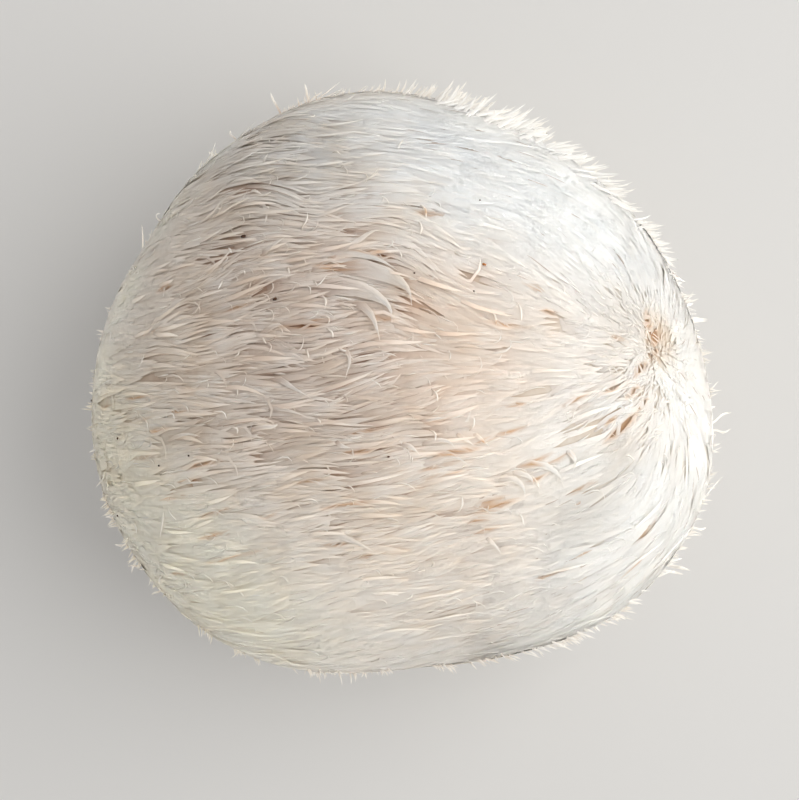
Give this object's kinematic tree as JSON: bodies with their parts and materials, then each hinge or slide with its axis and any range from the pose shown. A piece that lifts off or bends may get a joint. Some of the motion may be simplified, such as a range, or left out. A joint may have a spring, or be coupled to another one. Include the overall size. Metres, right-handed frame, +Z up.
{
  "type": "lions mane mushroom",
  "caption": "Shaggy cream-white lion's mane mushroom, a rounded ball of long soft hanging spines, lying on its flat cut base.",
  "frame": {"origin": "on the resting surface, under the middle of the bounding box; the cut base lies on this surface", "axes": "+Z up, +X towards the whorl that the spines run to, the longest way across; Y is the shorter way across"},
  "size_m": [0.197, 0.184, 0.1248],
  "materials": {
    "spines": "matte, slightly translucent, cream-white"
  },
  "bodies": {
    "root": {"fruiting_body": "spines"}
  },
  "joints": []
}
